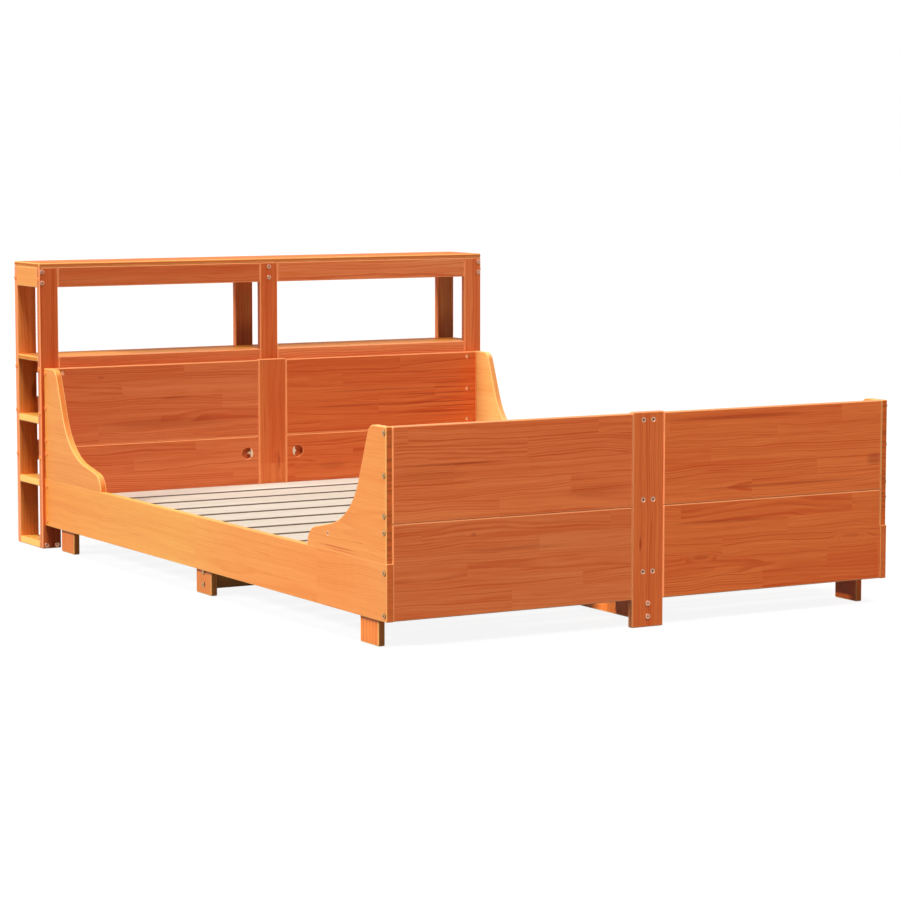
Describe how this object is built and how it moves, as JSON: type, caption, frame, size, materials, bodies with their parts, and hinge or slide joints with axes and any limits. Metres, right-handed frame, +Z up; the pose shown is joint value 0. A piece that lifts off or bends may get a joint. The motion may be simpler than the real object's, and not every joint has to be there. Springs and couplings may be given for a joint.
{
  "type": "double bed with bookcase headboard",
  "caption": "Solid pine double bed frame with curved corner guards, a bare slatted base, panelled head and foot boards and an open bookcase behind the headboard.",
  "frame": {"origin": "on the floor, in the middle of the whole footprint, bed and bookcase together", "axes": "+Z up; +Y from the footboard towards the headboard and bookcase; +X to the right as seen from the foot end"},
  "size_m": [1.4704, 2.2362, 0.823],
  "materials": {
    "pine_stained": "satin wax",
    "pine_bare": "planed, bare",
    "beech": "raw",
    "zinc_steel": "zinc plated"
  },
  "bodies": {
    "root": {"side_rail_left": "pine_stained", "side_rail_right": "pine_stained", "guard_foot_left": "pine_stained", "guard_foot_right": "pine_stained", "guard_head_left": "pine_stained", "guard_head_right": "pine_stained", "footboard_lower_left": "pine_stained", "footboard_lower_right": "pine_stained", "footboard_upper_left": "pine_stained", "footboard_upper_right": "pine_stained", "headboard_lower_left": "pine_stained", "headboard_lower_right": "pine_stained", "headboard_upper_left": "pine_stained", "headboard_upper_right": "pine_stained", "footboard_post": "pine_stained", "headboard_post": "pine_stained", "leg_foot_left": "pine_stained", "leg_foot_right": "pine_stained", "leg_middle_left": "pine_stained", "leg_middle_right": "pine_stained", "leg_head_left": "pine_stained", "leg_head_right": "pine_stained", "centre_beam": "pine_stained", "cross_beam": "pine_bare", "slat_ledgers": "pine_bare", "slat_01": "pine_bare", "slat_02": "pine_bare", "slat_03": "pine_bare", "slat_04": "pine_bare", "slat_05": "pine_bare", "slat_06": "pine_bare", "slat_07": "pine_bare", "slat_08": "pine_bare", "slat_09": "pine_bare", "slat_10": "pine_bare", "slat_11": "pine_bare", "slat_12": "pine_bare", "slat_13": "pine_bare", "bookcase_front_upright_left": "pine_stained", "bookcase_front_upright_centre": "pine_stained", "bookcase_front_upright_right": "pine_stained", "bookcase_rear_upright_left": "pine_stained", "bookcase_rear_upright_centre": "pine_stained", "bookcase_rear_upright_right": "pine_stained", "bookcase_front_rails": "pine_stained", "bookcase_rear_rails": "pine_stained", "bookcase_top_cross_rails": "pine_stained", "bookcase_cross_bars": "pine_stained", "bookcase_shelf": "pine_stained", "bookcase_top": "pine_stained", "connector_bolts": "zinc_steel", "long_connector_bolts": "zinc_steel", "barrel_nuts": "zinc_steel", "cams": "zinc_steel", "cam_bolts": "zinc_steel", "tie_rods": "zinc_steel", "half_moon_washers": "zinc_steel", "tie_rod_nuts": "zinc_steel", "wood_screws": "zinc_steel", "dowels": "beech"}
  },
  "joints": []
}
